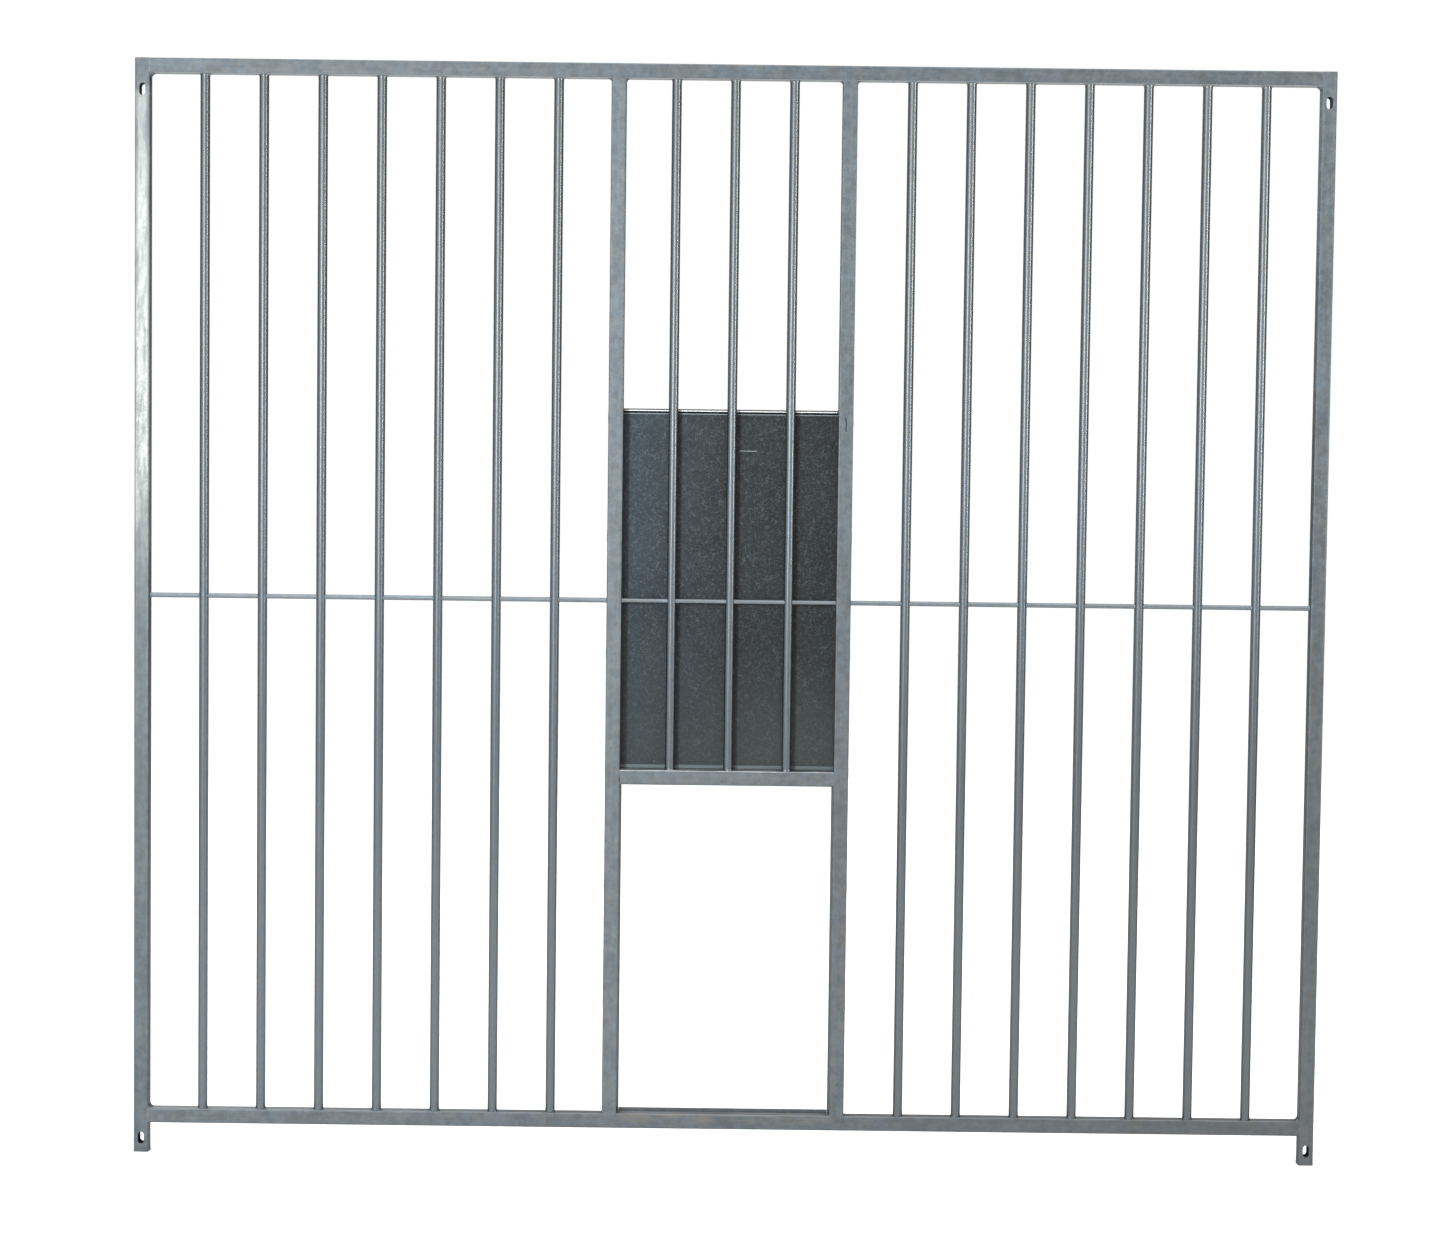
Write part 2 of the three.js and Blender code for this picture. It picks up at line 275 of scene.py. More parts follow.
class Shader:
    """A material's node tree: texture coordinates are the part's own metres."""

    def __init__(self, name):
        self.material = bpy.data.materials.new(name)
        self.material.use_nodes = True
        self.tree = self.material.node_tree
        self.surface = self.tree.nodes["Principled BSDF"]
        self.place = self.node("ShaderNodeTexCoord").outputs["Object"]

    def node(self, kind, **settings):
        made = self.tree.nodes.new(kind)
        for key, value in settings.items():
            setattr(made, key, value)
        return made

    def link(self, source, target):
        self.tree.links.new(source, target)

    def stretched(self, scale):
        mapping = self.node("ShaderNodeMapping")
        mapping.inputs["Scale"].default_value = scale
        self.link(self.place, mapping.inputs["Vector"])
        return mapping.outputs["Vector"]

    def noise(self, scale, detail, stretch=(1, 1, 1)):
        made = self.node("ShaderNodeTexNoise")
        made.inputs["Scale"].default_value = scale
        made.inputs["Detail"].default_value = detail
        made.inputs["Roughness"].default_value = NOISE_ROUGHNESS
        self.link(self.stretched(stretch), made.inputs["Vector"])
        return made.outputs["Fac"]

    def cells(self, scale):
        """A random value for each crystal of the zinc."""
        made = self.node("ShaderNodeTexVoronoi")
        made.inputs["Scale"].default_value = scale
        self.link(self.place, made.inputs["Vector"])
        split = self.node("ShaderNodeSeparateColor")
        self.link(made.outputs["Color"], split.inputs["Color"])
        return split.outputs["Red"]

    def math(self, operation, first, second=0.0):
        made = self.node("ShaderNodeMath", operation=operation)
        for value, socket in zip((first, second), made.inputs):
            if isinstance(value, (int, float)):
                socket.default_value = value
            else:
                self.link(value, socket)
        return made.outputs["Value"]

    def times(self, *factors):
        product = factors[0]
        for factor in factors[1:]:
            product = self.math("MULTIPLY", product, factor)
        return product

    def plus(self, first, second):
        return self.math("ADD", first, second)

    def weighed(self, *parts):
        """The sum of values, each times its own weight."""
        total = 0.0
        for value, weight in parts:
            total = self.plus(self.times(value, weight), total)
        return total

    def ramp(self, value, low, high, out_low=0.0, out_high=1.0):
        made = self.node("ShaderNodeMapRange", interpolation_type="SMOOTHSTEP")
        for socket, number in zip(list(made.inputs)[1:5], (low, high, out_low, out_high)):
            socket.default_value = number
        self.link(value, made.inputs["Value"])
        return made.outputs["Result"]

    def mix(self, factor, first, second, blend="MIX"):
        made = self.node("ShaderNodeMix", data_type="RGBA", blend_type=blend)
        sockets = (made.inputs["Factor"], made.inputs[6], made.inputs[7])
        for value, socket in zip((factor, first, second), sockets):
            if isinstance(value, tuple):
                socket.default_value = (*value, 1.0)
            elif isinstance(value, (int, float)):
                socket.default_value = value
            else:
                self.link(value, socket)
        return made.outputs[2]

    def split_place(self):
        split = self.node("ShaderNodeSeparateXYZ")
        self.link(self.place, split.inputs["Vector"])
        return split.outputs["X"], split.outputs["Y"], split.outputs["Z"]

    def window(self, value, low, high, edge):
        """1 between low and high, fading out over edge on both sides."""
        rise = self.ramp(value, low - edge, low + edge)
        fall = self.ramp(value, high - edge, high + edge, 1.0, 0.0)
        return self.times(rise, fall)

    def bump(self, height, depth, strength, normal=None):
        made = self.node("ShaderNodeBump")
        made.inputs["Strength"].default_value = strength
        made.inputs["Distance"].default_value = depth
        self.link(height, made.inputs["Height"])
        if normal is not None:
            self.link(normal, made.inputs["Normal"])
        return made.outputs["Normal"]

    def done(self, colour, roughness, normal, metallic):
        self.link(colour, self.surface.inputs["Base Color"])
        self.link(roughness, self.surface.inputs["Roughness"])
        self.link(normal, self.surface.inputs["Normal"])
        self.surface.inputs["Metallic"].default_value = metallic
        self.surface.inputs["Specular Tint"].default_value = (*EDGE_TINT, 1.0)
        return self.material


ALONG_X = (0.07, 1, 1)
ALONG_Z = (1, 1, 0.07)
EVERY_WAY = (1, 1, 1)

ZINC_DARK = (0.092, 0.105, 0.116)
ZINC_LIGHT = (0.168, 0.192, 0.212)
BLUISH = (0.97, 1.0, 1.03)
YELLOWISH = (1.03, 1.0, 0.96)
# dust, and painted shade low down and on the right
DUST_AND_SHADE = (0.06, 0.055, 0.05)
BROWN_DUST = (0.185, 0.17, 0.15)
# shinier zinc, and a painted highlight, on the left stile
FRESH_ZINC_AND_HIGHLIGHT = (0.305, 0.313, 0.311)
RUN_OFF_ZINC = (0.3, 0.31, 0.32)
# painted highlight on the top of the cross rail
CROSS_TOP_HIGHLIGHT = (0.5, 0.51, 0.51)
RAIL_TOP_HIGHLIGHT = (0.21, 0.215, 0.22)
SCAR = (0.03, 0.032, 0.035)
EDGE_TINT = (0.4, 0.4, 0.4)  # a dull skin of zinc doesn't turn to a mirror at its edges


def zinc(name, grain, shade=1.0, roughness=0.42, relief=1.0, contrast=1.0, marks=None):
    """Hot-dip zinc: cloudy patches, crystals, streaks along the grain, fine pits, and dust and painted
    shade lower down and towards the right.

    Grain is the stretch of the streaks, small along the tube that they run down. Shade makes the whole
    lighter or darker, relief scales the pits, and contrast the mottling. Marks may change the colour
    and the roughness of one piece.
    """
    shader = Shader(name)
    dark = tuple(shade * value for value in ZINC_DARK)
    light = tuple(shade * value for value in ZINC_LIGHT)
    clouds = shader.ramp(shader.noise(85, 5), 0.36, 0.64)
    patches = shader.ramp(shader.noise(13, 3), 0.35, 0.65)
    streaks = shader.ramp(shader.noise(190, 4, grain), 0.32, 0.68)
    crystals = shader.weighed((shader.cells(170), 0.55), (shader.cells(480), 0.45))
    mottling = shader.weighed((clouds, 0.32), (patches, 0.1), (streaks, 0.22), (crystals, 0.36))
    blend = shader.plus(shader.times(mottling, contrast), 0.5 - 0.5 * contrast)
    hue = shader.mix(shader.ramp(shader.noise(48, 4), 0.4, 0.6), BLUISH, YELLOWISH)
    colour = shader.mix(1.0, shader.mix(blend, dark, light), hue, "MULTIPLY")
    # dust and painted shade, darker low down and towards the right
    colour = shader.mix(dust_and_painted_shade(shader), colour, DUST_AND_SHADE)
    spread = shader.weighed((crystals, 0.12 * relief), (patches, 0.06 * contrast))
    rough = shader.plus(spread, roughness - 0.06 * relief - 0.03 * contrast)
    if marks:
        colour, rough = marks(shader, colour, rough)
    normal = shader.bump(shader.noise(260, 2, grain), 0.08 * MM * relief, 0.5)
    normal = shader.bump(shader.noise(900, 2), 0.04 * MM * relief, 0.5, normal)
    return shader.done(colour, rough, normal, 0.9)


def dust_and_painted_shade(shader):
    """Dust low down, and painted shade low down and towards the right, away from the lamps on the left.
    """
    x, _, z = shader.split_place()
    return shader.times(shader.ramp(z, 0.5, 1.3, 0.46, 0.0), shader.ramp(x, -1.25, 1.35))


def stile_shine_and_highlight(shader, colour, rough):
    """Fresher, shinier zinc on the upper part of the left stile, with a ragged edge; its paler colour
    is partly a painted highlight of the lamps on the left.
    """
    _, _, z = shader.split_place()
    streaks = shader.ramp(shader.noise(110, 6, (1, 1, 0.14)), 0.38, 0.56, 0.52, 1.0)
    reach = shader.plus(z, shader.times(shader.noise(30, 4), 0.16))
    lower_edge = shader.ramp(reach, 0.98, 1.3)
    upper_edge = shader.ramp(reach, 1.84, 1.88, 1.0, 0.14)
    waning = shader.ramp(z, 1.45, 1.78, 1.0, 0.7)
    fresh_and_lit = shader.times(lower_edge, upper_edge, waning, streaks)
    colour = shader.mix(fresh_and_lit, colour, FRESH_ZINC_AND_HIGHLIGHT)
    return colour, shader.math("SUBTRACT", rough, shader.times(fresh_and_lit, 0.05))


def painted_bar_light(shader, colour, rough):
    """A painted warm tint high up on the bars, where the lamps' highlights fall, and painted shade,
    cooler and duller, low down.
    """
    _, _, z = shader.split_place()
    tint = shader.mix(shader.ramp(z, 0.9, 1.6), (0.98, 1.0, 1.02), (1.035, 1.0, 0.965))
    colour = shader.mix(1.0, colour, tint, "MULTIPLY")
    return shader.mix(shader.ramp(z, 0.5, 1.1, 0.14, 0.0), colour, DUST_AND_SHADE), rough


def dirt_and_painted_top_light(shader, colour, rough):
    """Brown dust on the bottom rail, where paws cross it between the posts, and a painted highlight on
    its upper face.
    """
    x, _, z = shader.split_place()
    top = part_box("bottom_rail")[1].z
    between = shader.window(x, -0.18, 0.18, 0.02)
    upper_part = shader.ramp(z, 0.056, 0.068)
    patches = shader.ramp(shader.noise(110, 4, (0.16, 1, 1)), 0.44, 0.6)
    dirt = shader.times(between, upper_part, patches)
    colour = shader.mix(shader.times(dirt, 0.6), colour, BROWN_DUST)
    # painted highlight on the rail's upper face
    lit_top_face = shader.ramp(z, top - 0.8 * MM, top - 0.2 * MM)
    colour = shader.mix(lit_top_face, colour, RAIL_TOP_HIGHLIGHT)
    return colour, shader.plus(rough, shader.times(dirt, 0.1))


def pale_underside(shader, colour, rough):
    """The lower corners of the top rail, where the zinc ran off bright."""
    _, _, z = shader.split_place()
    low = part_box("top_rail")[0].z
    edge = shader.ramp(z, low + 1.6 * MM, low + 0.6 * MM)
    return shader.mix(edge, colour, RUN_OFF_ZINC), rough


def cross_rail_highlight(shader, colour, rough):
    """A painted highlight on the upper corners and the top of the cross rail, uneven along its length.
    """
    _, _, z = shader.split_place()
    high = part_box("cross_rail")[1].z
    edge = shader.ramp(z, high - 1.8 * MM, high - 0.8 * MM)
    uneven = shader.ramp(shader.noise(14, 3), 0.35, 0.6, 0.3, 1.0)
    return shader.mix(shader.times(edge, uneven), colour, CROSS_TOP_HIGHLIGHT), rough


def post_scar(shader, colour, rough):
    """A short dark scar on the right post, level with the clamp."""
    x, _, z = shader.split_place()
    wander = shader.times(shader.noise(90, 2, (0.1, 0.1, 1)), 4 * MM)
    line = shader.window(shader.plus(x, wander), 0.1915, 0.1935, 0.5 * MM)
    scar = shader.times(line, shader.window(z, 1.232, 1.256, 2 * MM))
    return shader.mix(scar, colour, SCAR), rough


def galvanised_sheet():
    """The hatch plate: dark zinc with a painted reflection, bluish on the left and brown on the right,
    painted shade lower down, and its marks.
    """
    shader = Shader("hatch_zinc")
    x, _, z = shader.split_place()
    clouds = shader.ramp(shader.noise(9, 4), 0.3, 0.7)
    grain = shader.noise(700, 2)
    colour = shader.mix(clouds, (0.022, 0.0275, 0.032), (0.031, 0.0385, 0.044))
    # painted reflection: bluish and brighter on the left, towards the lamps, browner and darker on the
    # right
    dim_right_reflection = shader.mix(clouds, (0.0155, 0.0156, 0.015), (0.021, 0.0211, 0.0204))
    colour = shader.mix(shader.ramp(x, -0.22, 0.04), colour, dim_right_reflection)
    # painted shade: darker lower down, where less of the lamps' light falls
    colour = shader.mix(shader.ramp(z, 0.8, 1.15, 0.3, 0.0), colour, (0.014, 0.015, 0.0155))
    colour = shader.mix(shader.times(grain, 0.4), colour, (0.016, 0.018, 0.019))
    low_down = shader.ramp(z, 0.67, 0.9, 0.32, 0.0)
    paler = shader.times(low_down, shader.ramp(x, -0.2, 0.12, 0.3, 1.0))
    colour = shader.mix(paler, colour, (0.062, 0.065, 0.062))
    hairs = shader.math("MAXIMUM", curled_hairs(shader, 170, 130), curled_hairs(shader, 300, 190))
    hairs = shader.times(hairs, shader.ramp(z, 0.7, 1.0, 0.13, 0.22))
    colour = shader.mix(hairs, colour, (0.13, 0.145, 0.15))
    for mark, paint in sheet_marks(shader):
        colour = shader.mix(mark, colour, paint)
    rough = shader.plus(shader.times(clouds, 0.06), 0.47)
    normal = shader.bump(shader.noise(5, 1), 1.2 * MM, 0.25)
    normal = shader.bump(grain, 0.03 * MM, 0.6, normal)
    return shader.done(colour, rough, normal, 0.85)


def curled_hairs(shader, scale, break_scale):
    """Thin lines where a noise passes through its middle value, broken into short strokes."""
    line = shader.math("ABSOLUTE", shader.math("SUBTRACT", shader.noise(scale, 0), 0.5))
    line = shader.ramp(line, 0.01, 0.05, 1.0, 0.0)
    return shader.times(line, shader.ramp(shader.noise(break_scale, 1), 0.4, 0.56))


def sheet_marks(shader):
    """Where the plate's marks and painted light lie, with their colours: a scratch, a painted
    reflection at the foot, and the fold's painted highlight, shadow and reflection.
    """
    x, y, z = shader.split_place()
    low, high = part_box("hatch_plate")
    bottom, top = low.z, high.z
    in_front = shader.ramp(y, high.y - 1.3 * MM, high.y - 0.7 * MM, 1.0, 0.0)
    wander = shader.times(shader.noise(120, 1), 1.5 * MM)
    line = shader.window(shader.plus(z, wander), 1.1985, 1.1992, 0.3 * MM)
    scratch = shader.times(line, shader.window(x, 0.014, 0.042, 2 * MM))
    # painted reflection: a pale band along the plate's foot, of the bright top of the rail below it
    foot_reflection = shader.window(z, bottom + 4 * MM, bottom + 9.5 * MM, MM)
    # The fold's bands are painted light: a paler crest where it is lit from above, a painted highlight
    # on its round front, a painted shadow under the lip and a painted reflection on the plate below it.
    crest = shader.ramp(z, top - 2.5 * MM, top - 2 * MM)
    fold_highlight = shader.window(z, top - 3.8 * MM, top - 2.4 * MM, 0.2 * MM)
    under = shader.window(z, top - 7.2 * MM, top - 4 * MM, 0.2 * MM)
    below = shader.window(z, top - 8.8 * MM, top - 7.4 * MM, 0.4 * MM)
    return (
        (shader.times(scratch, in_front), (0.24, 0.25, 0.25)),
        (shader.times(foot_reflection, in_front), (0.085, 0.095, 0.095)),
        (crest, (0.065, 0.065, 0.062)),
        (shader.times(fold_highlight, in_front), (0.5, 0.49, 0.46)),
        (shader.times(under, in_front), (0.006, 0.006, 0.006)),
        (shader.times(below, in_front), (0.14, 0.15, 0.154)),
    )


# ---- Tubes ----

def welded_rings(axis, start, end, middle):
    """Rings from one welded end to the other. Both ends draw in a little, and meet their neighbours."""
    stops = [
        (start - WELD_GAP, NECK),
        (start, NECK),
        (start + NECK, 0),
        (end - NECK, 0),
        (end, NECK),
        (end + WELD_GAP, NECK),
    ]
    rings = []
    for place, inset in stops:
        rings.append(axis(rounded_square(TUBE / 2 - inset, TUBE_CORNER), place, middle))
    return rings


def square_tube(node, material):
    """A rail or post: both ends are welded to a neighbour, so its hollow can't be seen."""
    low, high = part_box(node)
    lies = high.x - low.x > high.z - low.z
    axis, start, end = (along_x, low.x, high.x) if lies else (along_z, low.z, high.z)
    bm = bmesh.new()
    skin(bm, welded_rings(axis, start, end, middle_of(node)))
    finish_mesh(f"{node}_fine", bm, material, "frame", [node])


def slot_cutter(middle, height):
    """An obround through both walls, flared at each face to break the slot's edges."""
    edge = 0.5 * MM
    beyond = 1 * MM
    face = TUBE / 2
    stops = [
        (-face - beyond, edge + beyond),
        (-face + edge, 0),
        (face - edge, 0),
        (face + beyond, edge + beyond),
    ]
    rings = []
    for depth, grow in stops:
        section = obround(SLOT_WIDTH + 2 * grow, SLOT_LENGTH + 2 * grow)
        rings.append(along_y(section, middle.y + depth, Vector((middle.x, 0, height))))
    bm = bmesh.new()
    skin(bm, rings)
    return add_mesh("slot_cutter", bm)


def stile(node, material):
    """Open at the foot, closed at the top, with two bolt slots."""
    low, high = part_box(node)
    middle = middle_of(node)
    edge = 0.4 * MM
    inner = (TUBE / 2 - TUBE_WALL, TUBE_CORNER - TUBE_WALL)
    outer = (TUBE / 2, TUBE_CORNER)
    stops = [
        (inner, high.z - TUBE_WALL, 0),
        (inner, low.z + edge, 0),
        (inner, low.z, -edge),
        (outer, low.z, edge),
        (outer, low.z + edge, 0),
        (outer, high.z - 2 * edge, 0),
        (outer, high.z - edge / 2, edge / 2),
        (outer, high.z, 2 * edge),
    ]
    rings = []
    for (half, corner), z, inset in stops:
        rings.append(along_z(rounded_square(half - inset, corner), z, middle))
    bm = bmesh.new()
    skin(bm, rings)
    piece = finish_mesh(f"{node}_fine", bm, material, "frame", [node])
    for height in (low.z + LOWER_SLOT_HEIGHT, high.z - UPPER_SLOT_DROP):
        boolean(piece, slot_cutter(middle, height), "DIFFERENCE")


def bar(node, material, rng):
    """A round bar whose ends carry weld: a low ring of zinc, with a lump on the right and the left."""
    low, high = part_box(node)
    middle = middle_of(node)
    radius = (high.x - low.x) / 2
    foot_lumps = draw_lumps(rng)
    foot_lumps[0] *= LOWER_RIGHT_LUMP
    foot = bar_end(middle, radius, low.z - WELD_GAP, 1, foot_lumps)
    head = bar_end(middle, radius, high.z + WELD_GAP, -1, draw_lumps(rng))
    bm = bmesh.new()
    skin(bm, foot + head[::-1])
    finish_mesh(f"{node}_fine", bm, material, "frame", [node], sharp=60)


def draw_lumps(rng):
    """The sizes of an end's two lumps by their angles: right, then left."""
    right = rng.uniform(*LUMP_SIZES) * MM
    left = rng.uniform(*LUMP_SIZES) * MM
    return {0: right, math.pi: left}


def bar_end(middle, radius, end, inwards, lumps):
    """Rings from the very end of a bar to where its flare has thinned out."""
    rings = []
    for step in FLARE_STEPS:
        fade = (1 - step) ** FLARE_FALL
        z = end + inwards * step * FLARE
        ring = []
        for angle in turns(BAR_SIDES):
            lump = FLARE_BASE
            for at, size in lumps.items():
                apart = math.pi - abs(abs(angle - at) % (2 * math.pi) - math.pi)
                lump += size * math.exp(-((apart / LUMP_SPREAD) ** 2))
            out = radius + lump * fade
            ring.append(Vector((middle.x + out * math.cos(angle), middle.y + out * math.sin(angle), z)))
        rings.append(ring)
    return rings


def rod(node, bars, material):
    """A rod with a small collar of zinc wherever it enters a bar or meets a tube."""
    low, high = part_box(node)
    middle = middle_of(node)
    radius = (high.z - low.z) / 2
    stops = [(low.x - WELD_GAP, ROD_COLLAR), (low.x + COLLAR_REACH, 0)]
    for name in bars:
        left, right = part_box(name)
        stops += [
            (left.x + BITE - COLLAR_REACH, 0),
            (left.x + BITE, ROD_COLLAR),
            (right.x - BITE, ROD_COLLAR),
            (right.x - BITE + COLLAR_REACH, 0),
        ]
    stops += [(high.x - COLLAR_REACH, 0), (high.x + WELD_GAP, ROD_COLLAR)]
    rings = []
    for (x, size), (next_x, next_size) in zip(stops, stops[1:] + [stops[-1]]):
        rings.append(along_x(circle(radius + size, ROD_SIDES), x, middle))
        if size != next_size:
            halfway = size * 0.25 + next_size * 0.25
            rings.append(along_x(circle(radius + halfway, ROD_SIDES), (x + next_x) / 2, middle))
    bm = bmesh.new()
    skin(bm, rings)
    finish_mesh(f"{node}_fine", bm, material, "frame", [node], sharp=60)


# ---- Sheet parts ----

def hatch(material):
    """The flat plate, with its top edge folded forwards and down between the posts."""
    _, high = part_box("hatch_plate")
    rear = high.y
    front = rear - SHEET
    bend_centre = high.z - HEM_DEPTH / 2
    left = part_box("left_post")[1].x + HEM_SIDE_RUN
    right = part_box("right_post")[0].x - HEM_SIDE_RUN
    stops = ((front, SHEET_EDGE), (front + SHEET_EDGE, 0), (rear - SHEET_EDGE, 0), (rear, SHEET_EDGE))
    bm = bmesh.new()
    skin(bm, [along_y(plate_outline(left, right, bend_centre, inset), y, ORIGIN) for y, inset in stops])
    piece = finish_mesh("hatch_plate_fine", bm, material, "hatch", ["hatch_plate"])

    bm = bmesh.new()
    outline = fold_outline(front, rear, high.z, bend_centre)
    skin(bm, [along_x(outline, x, ORIGIN) for x in (left, right)])
    boolean(piece, add_mesh("fold", bm), "UNION")
    set_shading(piece.data)


def plate_outline(left, right, bend_centre, inset):
    """Seen from the front. Between left and right it stops where the fold begins."""
    low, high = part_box("hatch_plate")
    return [
        (low.x + inset, low.z + inset),
        (high.x - inset, low.z + inset),
        (high.x - inset, high.z - inset),
        (right + inset, high.z - inset),
        (right + inset, bend_centre - inset),
        (left - inset, bend_centre - inset),
        (left - inset, high.z - inset),
        (low.x + inset, high.z - inset),
    ]


def fold_outline(front, rear, top, bend_centre):
    """Seen from the side: up the plate's rear face, over, down to a round lip, and back inside."""
    steps = 10
    outer = HEM_DEPTH / 2
    tip = SHEET / 2
    foot = top - 2 * HEM_DEPTH
    lip = top - HEM_DROP
    outline = [(front, foot), (rear, foot)]
    outline += arc((rear - outer, bend_centre), outer, 0, math.pi, steps)
    outline += arc((rear - HEM_DEPTH + tip, lip + tip), tip, math.pi, 2 * math.pi, CORNER_STEPS)
    outline += arc((rear - outer, bend_centre), outer - SHEET, math.pi, 0, steps)
    return outline


def guide(node, post, side, material):
    """Z section: foot on the post's rear face, web beside the plate's edge, flange behind the plate."""
    low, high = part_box(node)
    post_low, post_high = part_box(post)
    inner = post_high.x if side < 0 else post_low.x
    outer = post_low.x if side < 0 else post_high.x
    web = inner + side * GUIDE_WEB
    lip = inner - side * GUIDE_LIP
    points = [
        (outer, low.y),
        (outer, low.y + SHEET),
        (web + side * SHEET, low.y + SHEET),
        (web + side * SHEET, high.y),
        (lip, high.y),
        (lip, high.y - SHEET),
        (web, high.y - SHEET),
        (web, low.y),
    ]
    outer_bend = BEND + SHEET
    radii = (SHEET_EDGE, SHEET_EDGE, BEND, outer_bend, SHEET_EDGE, SHEET_EDGE, BEND, outer_bend)
    section = rounded_polygon(points, radii)
    bm = bmesh.new()
    skin(bm, [along_z(section, z, ORIGIN) for z in (low.z, high.z)])
    piece = finish_mesh(f"{node}_fine", bm, material, "frame", [node])
    if side > 0:
        hole = bmesh.new()
        screw = middle_of("clamp_nut")
        ends = (high.y - 1.5 * SHEET, high.y + SHEET)
        skin(hole, [along_y(circle(SCREW_HOLE / 2, 32), y, screw) for y in ends])
        boolean(piece, add_mesh("hole", hole), "DIFFERENCE")


def sill(material):
    """L section: a floor behind the bottom rail and an upstand behind the plate."""
    low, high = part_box("sill_strip")
    points = [
        (low.y - WELD_GAP, low.z),
        (high.y, low.z),
        (high.y, high.z),
        (high.y - SHEET, high.z),
        (high.y - SHEET, low.z + SHEET),
        (low.y - WELD_GAP, low.z + SHEET),
    ]
    radii = (SHEET_EDGE, BEND + SHEET, SHEET_EDGE, SHEET_EDGE, BEND, SHEET_EDGE)
    section = rounded_polygon(points, radii)
    bm = bmesh.new()
    skin(bm, [along_x(section, x, ORIGIN) for x in (low.x, high.x)])
    finish_mesh("sill_strip_fine", bm, material, "frame", ["sill_strip"])


# ---- Clamp ----

def clamp_nut(material):
    """A hexagon with the usual turned chamfer on both faces."""
    low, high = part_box("clamp_nut")
    middle = middle_of("clamp_nut")
    sides = 72
    chamfer = 1.2 * MM
    chamfer_slope = math.sqrt(3)
    flats = NUT_FLATS / 2
    washer_face = 0.95 * flats
    bore = NUT_BORE / 2
    countersink = 0.4 * MM
    countersink_depth = 0.5 * MM

    def ring(depth):
        section = []
        for angle in turns(sides):
            wrapped = (angle + math.pi / 6) % (math.pi / 3) - math.pi / 6
            hexagon = flats / math.cos(math.pi / 6 - abs(wrapped))
            out = min(hexagon, washer_face + chamfer_slope * depth)
            section.append((out * math.cos(angle), out * math.sin(angle)))
        return section

    depths = [chamfer * i / 6 for i in range(7)]
    front = low.y - WELD_GAP
    rings = [along_y(ring(depth), front + depth, middle) for depth in depths]
    rings += [along_y(ring(depth), high.y - depth, middle) for depth in reversed(depths)]
    rings.append(along_y(circle(bore + countersink, sides), high.y, middle))
    rings.append(along_y(circle(bore, sides), high.y - countersink_depth, middle))
    rings.append(along_y(circle(bore, sides), front, middle))
    bm = bmesh.new()
    skin(bm, rings, loop=True)
    finish_mesh("clamp_nut_fine", bm, material, "frame", ["clamp_nut"], 28)


def clamp_screw(material):
    """A real helical thread, and a cast hub with two ears."""
    low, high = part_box("clamp_screw")
    middle = middle_of("clamp_screw")
    sides = 48
    hub_front = high.y - WING_LENGTH
    crest = SCREW_THREAD / 2
    root = crest - THREAD_DEPTH
    steps_per_pitch = 8
    step = THREAD_PITCH / steps_per_pitch
    count = int((hub_front - low.y) / step)
    rings = []
    for i in range(count + 1):
        y = low.y + i * step
        run_in = min(1, i * step / THREAD_PITCH)
        ring = []
        for angle in turns(sides):
            phase = (i / steps_per_pitch - angle / (2 * math.pi)) % 1
            ridge = 1 - abs(2 * phase - 1)
            out = root + THREAD_DEPTH * min(1, 1.3 * ridge) * run_in
            ring.append(Vector((middle.x + out * math.cos(angle), y, middle.z + out * math.sin(angle))))
        rings.append(ring)
    rings.append(along_y(circle(root, sides), hub_front + MM, middle))
    bm = bmesh.new()
    skin(bm, rings)
    node = "clamp_screw"
    finish_mesh("clamp_screw_thread", bm, material, "clamp", [node], sharp=80)
    clamp_wings(material, middle, hub_front, high.x - middle.x)


def clamp_wings(material, middle, hub_front, reach):
    """Hub and ears are remeshed into one, as a casting's fillets run together."""
    hub = HUB / 2
    profile = [
        (0, hub - WING_EDGE),
        (WING_EDGE, hub),
        (HUB_LENGTH - HUB_DOME, hub),
        (HUB_LENGTH - HUB_DOME / 3, hub - HUB_DOME / 3),
        (HUB_LENGTH, hub - HUB_DOME),
    ]
    bm = bmesh.new()
    skin(bm, [along_y(circle(radius, 48), hub_front + depth, middle) for depth, radius in profile])
    half = WING_THICKNESS / 2
    layers = ((-half, WING_EDGE), (-half + WING_EDGE, 0), (half - WING_EDGE, 0), (half, WING_EDGE))
    outline = ear_outline(reach)
    for side in (-1, 1):
        sheets = []
        for height, inset in layers:
            z = middle.z + height
            shrunk = shrink(outline, inset)
            sheets.append([Vector((middle.x + side * a, hub_front + b, z)) for a, b in shrunk])
        skin(bm, sheets)
    piece = finish_mesh("clamp_screw_wings", bm, material, "clamp", [], sharp=180)
    remesh = piece.modifiers.new("cast", "REMESH")
    remesh.mode = "VOXEL"
    remesh.voxel_size = 0.45 * MM
    smooth = piece.modifiers.new("soften", "SMOOTH")
    smooth.iterations = 4
    apply_modifiers(piece)
    piece.data.shade_smooth()


def ear_outline(reach):
    """From the hub's axis out along the lower curve, around the tip and back along the upper curve."""
    steps = 12
    ear_x = reach - WING_TIP
    ear_y = WING_LENGTH - WING_TIP
    shoulder = HUB_LENGTH - HUB_DOME
    start = 0.5 * MM
    lower = bezier((0, start), (reach / 2, start), (reach, ear_y / 2), (reach, ear_y), steps)
    tip = arc((ear_x, ear_y), WING_TIP, 0, math.pi, 10)
    inside = ear_x - WING_TIP
    upper = bezier((inside, ear_y), (inside, HUB_LENGTH), (HUB / 2, shoulder), (0, shoulder), steps)
    return lower + tip[1:-1] + upper


